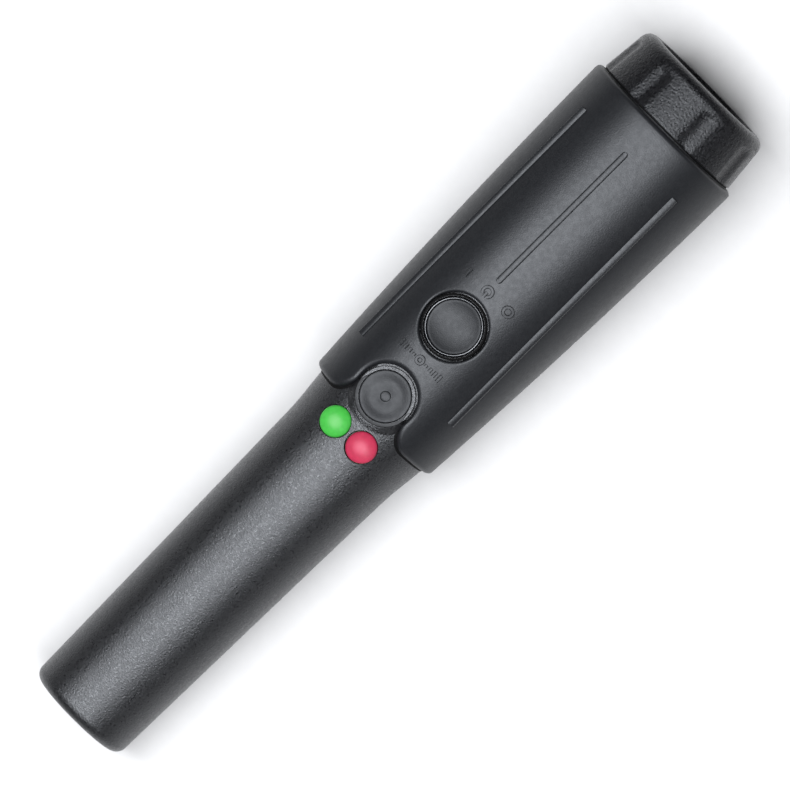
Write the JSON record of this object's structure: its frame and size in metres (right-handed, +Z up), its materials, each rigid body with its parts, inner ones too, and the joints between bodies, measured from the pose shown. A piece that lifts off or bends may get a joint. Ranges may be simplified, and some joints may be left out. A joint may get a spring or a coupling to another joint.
{
  "type": "pinpointer probe",
  "caption": "Hand-held pinpointer metal detector: tapered sensing tube, rubber grip with two push keys, green and red signal lenses, and a fluted butt cap with a torch.",
  "frame": {"origin": "middle of the whole tool's box, on the surface that the flat underside of the grip lies on", "axes": "+X towards the sensing tip, +Z up through the keys; the tool's own long axis dips 1.89 degrees towards the tip"},
  "size_m": [0.2416, 0.05, 0.0497],
  "materials": {
    "case_plastic": "black moulded plastic with a fine spark-eroded grain",
    "grip_rubber": "smooth matte charcoal rubber",
    "cap_plastic": "black moulded plastic, coarser grain",
    "key_rubber": "smooth satin rubber",
    "green_plastic": "translucent green",
    "red_plastic": "translucent red",
    "clear_lens": "clear polycarbonate",
    "reflector_metal": "vacuum metallised",
    "seal_rubber": "soft black",
    "board_green": "solder mask",
    "black_epoxy": "moulded epoxy",
    "white_plastic": "natural nylon",
    "grey_plastic": "grey moulded carrier",
    "battery_jacket": "printed steel jacket, plain",
    "steel": "plated",
    "brass": "brass",
    "copper_wire": "enamelled copper wire",
    "ferrite": "sintered ferrite",
    "led_clear": "clear epoxy",
    "foam": "soft foam",
    "lead_cover": "insulated wire"
  },
  "bodies": {
    "case": {"probe_case": "case_plastic", "grip_sleeve": "grip_rubber", "cap_seal": "seal_rubber", "power_switch": "black_epoxy", "light_switch": "black_epoxy", "green_lens": "green_plastic", "red_lens": "red_plastic", "green_light": "led_clear", "red_light": "led_clear", "battery": "battery_jacket", "battery_snap": "black_epoxy", "chassis": "grey_plastic", "circuit_board": "board_green", "board_screws": "steel", "board_chips": "black_epoxy", "board_capacitors": "steel", "contact_strips": "brass", "sounder": "black_epoxy", "vibration_motor": "steel", "motor_clip": "white_plastic", "ferrite_rod": "ferrite", "coil_former": "white_plastic", "transmit_winding": "copper_wire", "receive_windings": "copper_wire", "tip_pad": "foam", "battery_leads": "lead_cover", "coil_leads": "copper_wire"},
    "cap": {"butt_cap": "cap_plastic", "torch_snap_ring": "steel"},
    "torch": {"torch_housing": "grey_plastic", "torch_lens": "clear_lens", "torch_reflector": "reflector_metal", "torch_light": "led_clear", "torch_board": "board_green"},
    "power_button": {"power_key": "key_rubber", "power_switch_plunger": "white_plastic"},
    "light_button": {"light_key": "key_rubber", "light_switch_plunger": "white_plastic"},
    "motor_rotor": {"motor_shaft": "steel", "motor_weight": "brass"}
  },
  "joints": [
    {"name": "power_press", "type": "slide", "parent": "case", "child": "power_button", "axis": [-0.0329, 0, -0.9995], "range_m": [0, 0.0006], "stiffness_N_per_m": 4000},
    {"name": "light_press", "type": "slide", "parent": "case", "child": "light_button", "axis": [-0.0329, 0, -0.9995], "range_m": [0, 0.0006], "stiffness_N_per_m": 4000},
    {"name": "torch_slide", "type": "slide", "parent": "case", "child": "torch", "axis": [-0.9995, 0, 0.0329], "range_m": [0, 0.0075]},
    {"name": "cap_turn", "type": "hinge", "parent": "torch", "child": "cap", "pos_m": [-0.11217, 0, 0.02483], "axis": [-0.9995, 0, 0.0329], "range_deg": [0, 1080]},
    {"name": "motor_spin", "type": "hinge", "parent": "case", "child": "motor_rotor", "pos_m": [0.00771, 0, 0.01948], "axis": [0.9995, 0, -0.0329], "continuous": true}
  ],
  "couplings": [
    {"joint": "torch_slide", "follows": "cap_turn", "m_per_rad": 0.00039789}
  ]
}
